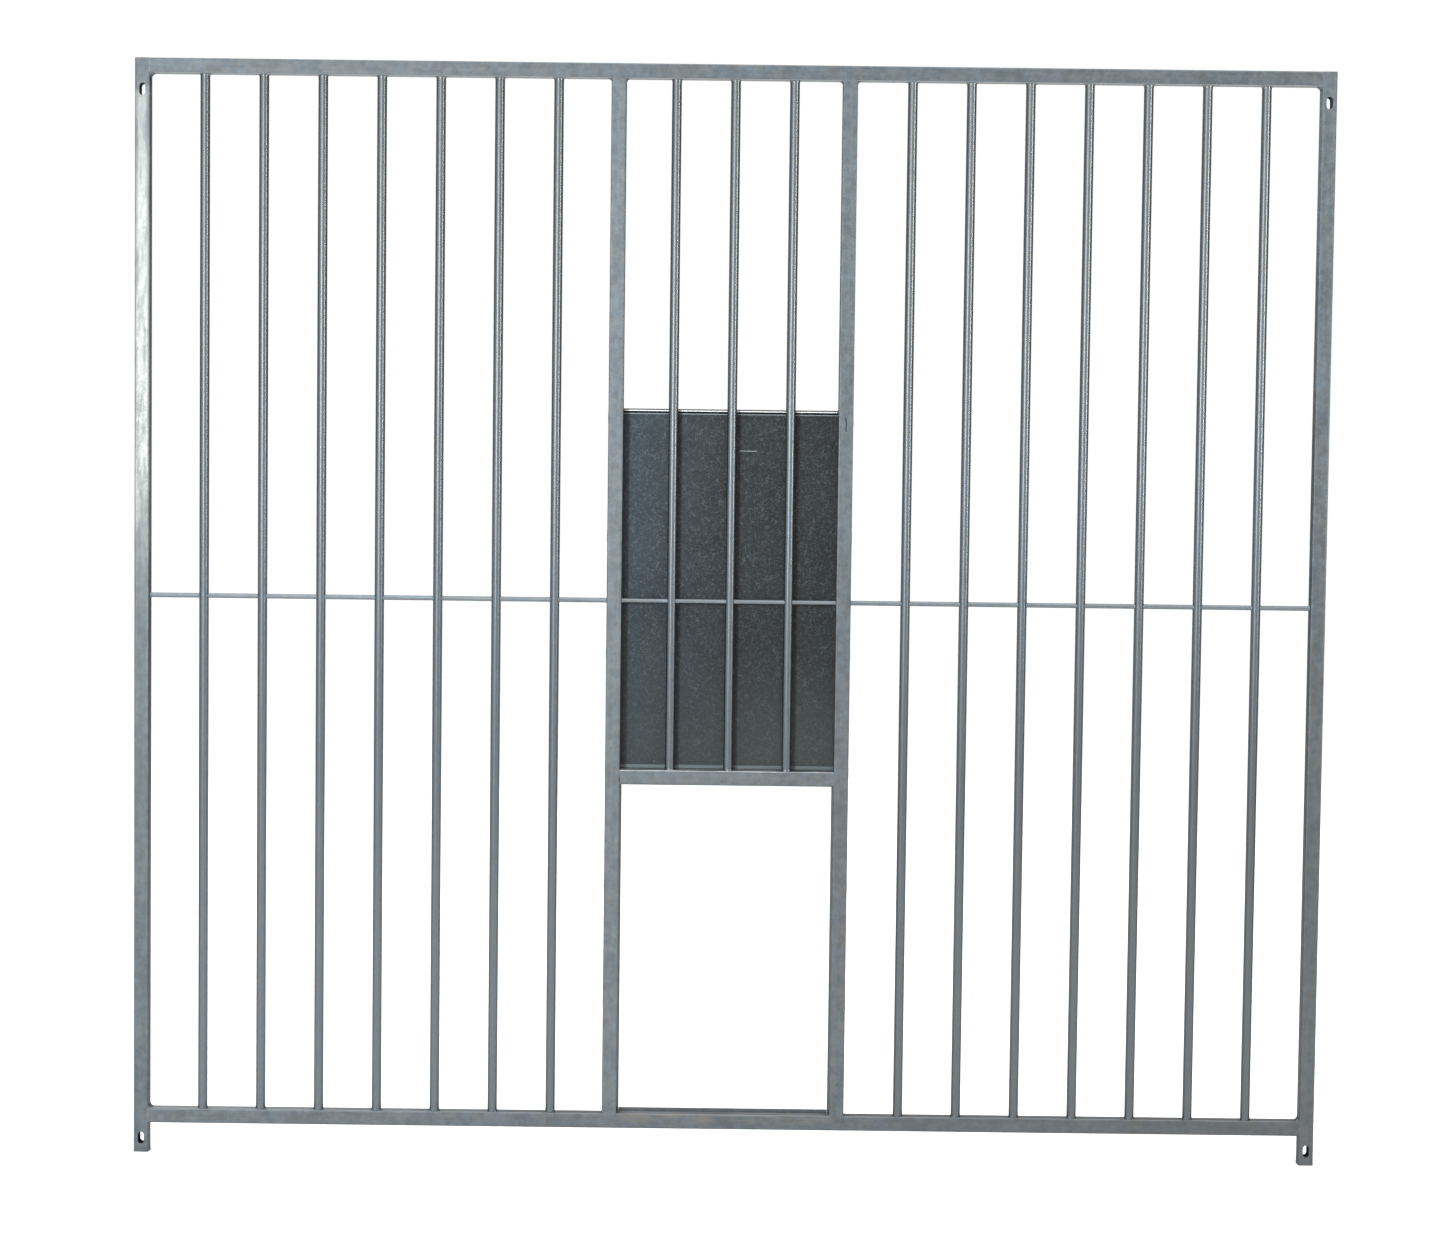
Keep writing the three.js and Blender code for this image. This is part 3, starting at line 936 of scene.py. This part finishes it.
def bezier(start, first, second, end, steps):
    """Points along a cubic curve from start to end."""
    points = [Vector(p) for p in (start, first, second, end)]
    made = []
    for i in range(steps + 1):
        t = i / steps
        weights = ((1 - t) ** 3, 3 * t * (1 - t) ** 2, 3 * t * t * (1 - t), t ** 3)
        made.append(tuple(sum((w * p for w, p in zip(weights, points)), Vector((0, 0)))))
    return made


def shrink(outline, inset):
    """Each point moves in towards the middle of its neighbours' line, square to it."""
    made = []
    for i, point in enumerate(outline):
        along = Vector(outline[(i + 1) % len(outline)]) - Vector(outline[i - 1])
        inwards = Vector((-along.y, along.x)).normalized()
        made.append(tuple(Vector(point) + inwards * inset))
    return made


# ---- Weld beads ----

def fillet(bm, start, end, first, second, leg, seed):
    """A rippled concave fillet from start to end, in the corner between two directions."""
    start, end = Vector(start), Vector(end)
    first, second = Vector(first), Vector(second)
    length = (end - start).length
    count = max(6, int(length / FILLET_STEP))
    sink = -FILLET_SINK
    rings = []
    for i in range(count + 1):
        t = i / count
        taper = min(1, 5 * min(t, 1 - t) + 0.35)
        ripple = 1 + 0.1 * math.sin(2 * math.pi * t * length / FILLET_RIPPLE)
        drift = 0.25 * noise.noise(Vector((seed, 9 * t, 0)))
        size = leg * taper * (ripple + drift)
        centre = start.lerp(end, t)
        ring = [centre + (first + second) * sink, centre + first * size + second * sink]
        for step in range(7):
            angle = math.pi / 2 * step / 6
            fullness = FILLET_FULLNESS * math.sin(2 * angle)
            along_first = size * (1 - math.sin(angle)) * 0.98 + fullness
            along_second = size * (1 - math.cos(angle)) * 0.98 + fullness
            ring.append(centre + first * along_first + second * along_second)
        ring.append(centre + second * size + first * sink)
        rings.append(ring)
    skin(bm, rings)


def frame_welds(material):
    """Fillets in the corners where square tubes meet, front to back across each joint."""
    rail_low, rail_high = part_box("top_rail")
    front = rail_low.y + TUBE_CORNER / 2
    rear = rail_high.y - TUBE_CORNER / 2
    top = rail_low.z
    below, floor = (corner.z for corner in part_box("bottom_rail"))
    under, over = (corner.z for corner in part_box("cross_rail"))
    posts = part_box("left_post"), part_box("right_post")
    joints = []  # x, z, the two directions of the corner, and the weld's leg in millimetres
    for x, away in ((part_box("left_stile")[1].x, RIGHT), (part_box("right_stile")[0].x, LEFT)):
        joints += [(x, top, away, DOWN, 7), (x, floor, away, UP, 7), (x, below, away, DOWN, 2)]
    for low, high in posts:
        joints += [(low.x, top, LEFT, DOWN, 5), (high.x, top, RIGHT, DOWN, 5)]
        joints += [(low.x, floor, LEFT, UP, 2.2), (high.x, floor, RIGHT, UP, 2.2)]
    for x, away in ((posts[0][1].x, RIGHT), (posts[1][0].x, LEFT)):
        joints += [(x, over, away, UP, 1.6), (x, under, away, DOWN, 1.6)]
    bm = bmesh.new()
    for seed, (x, z, first, second, leg) in enumerate(joints):
        fillet(bm, (x, front, z), (x, rear, z), first, second, leg * MM, seed)
    finish_mesh("frame_welds", bm, material, "frame", sharp=50)


def flush_weld(bm, start, end, body, depth):
    """Weld ground flush in the groove between a tube's rounded corner and the end of its neighbour.

    Start and end are on the joint's line in the face. Body points into the tube with the corner and
    depth into the joint, and both ends of the weld follow the neighbour's own rounded corners.
    """
    start, end, body, depth = Vector(start), Vector(end), Vector(body), Vector(depth)
    run = (end - start).normalized()
    stops = [(start + run * tail, tail) for tail in FLUSH_TAILS]
    stops += [(end - run * tail, tail) for tail in reversed(FLUSH_TAILS)]
    rings = []
    for place, tail in stops:
        sunk = TUBE_CORNER - math.sqrt(TUBE_CORNER**2 - (TUBE_CORNER - tail) ** 2)
        rings.append([place + body * a * MM + depth * (b * MM + sunk) for a, b in FLUSH_SECTION])
    skin(bm, rings)


def flush_welds(material):
    """The faces of every joint between square tubes, front and rear."""
    bm = bmesh.new()
    posts = [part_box(name) for name in ("left_post", "right_post")]
    post_in = posts[0][1].x, posts[1][0].x
    stile_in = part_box("left_stile")[1].x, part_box("right_stile")[0].x
    rail_ends = (("top_rail", stile_in), ("bottom_rail", stile_in), ("cross_rail", post_in))
    post_ends = ((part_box("top_rail")[0].z, UP), (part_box("bottom_rail")[1].z, DOWN))
    for y, depth in ((posts[0][0].y, REARWARDS), (posts[0][1].y, FORWARDS)):
        for name, sides in rail_ends:
            low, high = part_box(name)
            for x, body in zip(sides, (LEFT, RIGHT)):
                spans = [(low.z, high.z)]
                if name == "cross_rail" and body == LEFT:
                    spans = [(low.z, low.z + SLIT_START), (low.z + SLIT_END, high.z)]
                for bottom, top in spans:
                    flush_weld(bm, (x, y, bottom), (x, y, top), body, depth)
        for low, high in posts:
            for z, body in post_ends:
                flush_weld(bm, (low.x, y, z), (high.x, y, z), body, depth)
    finish_mesh("flush_welds", bm, material, "frame", sharp=50)


def bead(bm, centre, reach, radius, squash, seed):
    """A short lumpy bead that lies half sunk along a joint. Squash is its low direction."""
    centre, reach, low = Vector(centre), Vector(reach), Vector(squash)
    start, end = centre - reach, centre + reach
    side = reach.normalized().cross(low)
    count = 14
    rings = []
    for i in range(count + 1):
        t = i / count
        body = math.sqrt(max(0.02, 1 - (2 * t - 1) ** 4))
        drift = 0.2 * noise.noise(Vector((seed, 5 * t, 3)))
        size = radius * body * (1 + 0.12 * math.sin(t * 40) + drift)
        wide, flat = side * size, low * (0.6 * size)
        place = start.lerp(end, t)
        rings.append([place + wide * math.cos(a) + flat * math.sin(a) for a in turns(12)])
    skin(bm, rings)


def tack_welds(material):
    """Short beads that hold the guides, the sill strip and the nut."""
    beads = []
    for node, side in (("left_guide", -1), ("right_guide", 1)):
        low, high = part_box(node)
        x = (low.x if side < 0 else high.x) - side * 0.6 * MM
        height = high.z - low.z
        stations = round(height / TACK_SPACING)
        for i in range(stations + 1):
            z = low.z + TACK_REACH + (height - 2 * TACK_REACH) * i / stations
            beads.append(((x, low.y, z), (0, 0, TACK_REACH), TACK_RADIUS, REARWARDS))
    low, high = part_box("sill_strip")
    for i in range(3):
        x = low.x + (high.x - low.x) * (2 * i + 1) / 6
        beads.append(((x, low.y, low.z), (TACK_REACH, 0, 0), TACK_RADIUS, UP))
    nut_low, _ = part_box("clamp_nut")
    middle = middle_of("clamp_nut")
    for side in (-1, 1):
        z = middle.z + side * (NUT_FLATS / 2 + 0.4 * MM)
        beads.append(((middle.x, nut_low.y, z), (3 * MM, 0, 0), 1.1 * MM, REARWARDS))
    bm = bmesh.new()
    for seed, (centre, reach, radius, squash) in enumerate(beads, 100):
        bead(bm, centre, reach, radius, squash, seed)
    finish_mesh("tack_welds", bm, material, "frame", sharp=60)


# ---- Assembly ----

def build():
    """Every piece of the panel, with a zinc of its own wherever the light or the wear differs."""
    lying = zinc("zinc_lying", ALONG_X, 0.92, marks=pale_underside)
    cross = zinc("zinc_cross", ALONG_X, 1.1, marks=cross_rail_highlight)
    standing = zinc("zinc_standing", ALONG_Z, 0.98)
    stile_zinc = zinc("zinc_stile_highlight", ALONG_Z, 0.84, marks=stile_shine_and_highlight)
    rail_zinc = zinc("zinc_bottom_rail", ALONG_X, 0.93, marks=dirt_and_painted_top_light)
    left_post_zinc = zinc("zinc_left_post", ALONG_Z, 1.1)
    right_post_zinc = zinc("zinc_scarred_post", ALONG_Z, 1.02, marks=post_scar)
    bar_zinc = zinc("zinc_bar", ALONG_Z, 1.1, 0.25, relief=0.04, contrast=0.25, marks=painted_bar_light)
    rod_zinc = zinc("zinc_rod", ALONG_X, 1.3, 0.38, relief=0.3, contrast=0.5)
    guide_zinc = zinc("zinc_guide", ALONG_Z, 0.85, 0.45)
    weld_zinc = zinc("zinc_weld", EVERY_WAY, 1.06, 0.44)
    hardware = zinc("zinc_hardware", EVERY_WAY, 1.9, 0.32, relief=0.5)
    sheet = galvanised_sheet()

    stile("left_stile", stile_zinc)
    stile("right_stile", standing)
    square_tube("top_rail", lying)
    square_tube("bottom_rail", rail_zinc)
    square_tube("left_post", left_post_zinc)
    square_tube("right_post", right_post_zinc)
    square_tube("cross_rail", cross)

    rng = random.Random(7)
    for bay in ("left", "centre", "right"):
        names = sorted(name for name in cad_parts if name.startswith(f"{bay}_bar_"))
        for name in names:
            bar(name, bar_zinc, rng)
        rod(f"{bay}_rod", names, rod_zinc)

    hatch(sheet)
    guide("left_guide", "left_post", -1, guide_zinc)
    guide("right_guide", "right_post", 1, guide_zinc)
    sill(guide_zinc)
    clamp_nut(hardware)
    clamp_screw(hardware)
    frame_welds(weld_zinc)
    flush_welds(weld_zinc)
    tack_welds(weld_zinc)


# ---- Camera, floor and light ----

def add_camera():
    data = bpy.data.cameras.new("camera")
    data.lens = LENS
    data.sensor_width = SENSOR
    camera = bpy.data.objects.new("camera", data)
    tilt = Matrix.Rotation(math.radians(90 + CAMERA_PITCH), 4, "X")
    roll = Matrix.Rotation(math.radians(CAMERA_ROLL), 4, "Z")
    camera.matrix_world = Matrix.Translation(CAMERA_PLACE) @ tilt @ roll
    bpy.context.scene.collection.objects.link(camera)
    bpy.context.scene.camera = camera


def add_floor():
    bm = bmesh.new()
    bmesh.ops.create_grid(bm, x_segments=1, y_segments=1, size=FLOOR_REACH)
    mesh = bpy.data.meshes.new("floor")
    bm.to_mesh(mesh)
    bm.free()
    floor = bpy.data.objects.new("floor", mesh)
    bpy.context.scene.collection.objects.link(floor)
    material = bpy.data.materials.new("floor")
    material.use_nodes = True
    surface = material.node_tree.nodes["Principled BSDF"]
    surface.inputs["Base Color"].default_value = (0.9, 0.885, 0.87, 1)
    surface.inputs["Roughness"].default_value = 0.9
    surface.inputs["Specular IOR Level"].default_value = 0.1
    mesh.materials.append(material)


def add_light(name, place, target, width, height, radiance, tint=(1, 1, 1)):
    """A soft box of a given brightness, aimed at a point and hidden from the camera."""
    data = bpy.data.lights.new(name, "AREA")
    data.color = tint
    data.shape = "RECTANGLE"
    data.size = width
    data.size_y = height
    data.energy = radiance * math.pi * width * height
    light = bpy.data.objects.new(name, data)
    place = Vector(place)
    aim = (Vector(target) - place).to_track_quat("-Z", "Y")
    light.matrix_world = Matrix.Translation(place) @ aim.to_matrix().to_4x4()
    light.visible_camera = False
    bpy.context.scene.collection.objects.link(light)
    return light


def add_world():
    """White to the camera. As a light, it is brighter in front, overhead and on the bluish left."""
    world = bpy.data.worlds.new("studio")
    world.use_nodes = True
    bpy.context.scene.world = world
    tree = world.node_tree
    tree.nodes.clear()
    direction = tree.nodes.new("ShaderNodeTexCoord")
    split = tree.nodes.new("ShaderNodeSeparateXYZ")
    tree.links.new(direction.outputs["Generated"], split.inputs["Vector"])

    def ramp(axis, start, end, first, last):
        made = tree.nodes.new("ShaderNodeMapRange")
        for socket, number in zip(list(made.inputs)[1:5], (start, end, first, last)):
            socket.default_value = number
        tree.links.new(split.outputs[axis], made.inputs["Value"])
        return made.outputs["Result"]

    def combine(operation, first, second):
        made = tree.nodes.new("ShaderNodeMath")
        made.operation = operation
        tree.links.new(first, made.inputs[0])
        tree.links.new(second, made.inputs[1])
        return made.outputs["Value"]

    depthwise = combine("ADD", ramp("Y", -1, -0.1, 1.5, 0.4), ramp("Y", 0.1, 1, 0, -0.15))
    around = combine("MULTIPLY", depthwise, ramp("X", -0.6, 0.6, 1.3, 0.7))
    strength = combine("ADD", around, ramp("Z", 0.15, 1, 0, 1.05))
    tint = tree.nodes.new("ShaderNodeMix")
    tint.data_type = "RGBA"
    tint.inputs[6].default_value = (0.9, 0.99, 1.05, 1)
    tint.inputs[7].default_value = (1.02, 0.99, 0.95, 1)
    tree.links.new(ramp("X", -0.4, 0.4, 0, 1), tint.inputs["Factor"])
    lit = tree.nodes.new("ShaderNodeBackground")
    tree.links.new(tint.outputs[2], lit.inputs["Color"])
    tree.links.new(strength, lit.inputs["Strength"])
    seen = tree.nodes.new("ShaderNodeBackground")
    seen.inputs["Color"].default_value = (1, 1, 1, 1)
    path = tree.nodes.new("ShaderNodeLightPath")
    choice = tree.nodes.new("ShaderNodeMixShader")
    tree.links.new(path.outputs["Is Camera Ray"], choice.inputs["Fac"])
    tree.links.new(lit.outputs["Background"], choice.inputs[1])
    tree.links.new(seen.outputs["Background"], choice.inputs[2])
    out = tree.nodes.new("ShaderNodeOutputWorld")
    tree.links.new(choice.outputs["Shader"], out.inputs["Surface"])


def add_studio():
    """Three lamps on the left, one of them for the plate alone, then one aside, above and behind."""
    middle = (0, 0, 1.0)
    warm = (1, 0.96, 0.9)
    add_light("key", (-1.95, -4.7, 1.5), middle, 1.9, 1.55, 4.3, warm)
    add_light("key_core", (-1.9, -4.6, 1.5), middle, 1.9, 0.6, 3.2, warm)
    on_hatch = add_light("key_on_hatch", (-2.3, -4.7, 1.9), middle, 0.7, 1.3, 95, (0.8, 1.0, 1.14))
    receivers = bpy.data.collections.new("hatch_only")
    receivers.objects.link(bpy.data.objects["hatch_plate_fine"])
    on_hatch.light_linking.receiver_collection = receivers
    add_light("side", (3.2, -1.9, 1.6), middle, 0.5, 1.5, 14, warm)
    add_light("overhead", (0, -0.5, 5.5), (0, -0.5, 0), 8, 8, 1.2)
    add_light("rear", (-2.4, 4.6, 3.6), middle, 2.4, 2.4, 5)
    bpy.context.scene.view_settings.view_transform = "Standard"


build()
add_camera()
add_floor()
add_world()
add_studio()
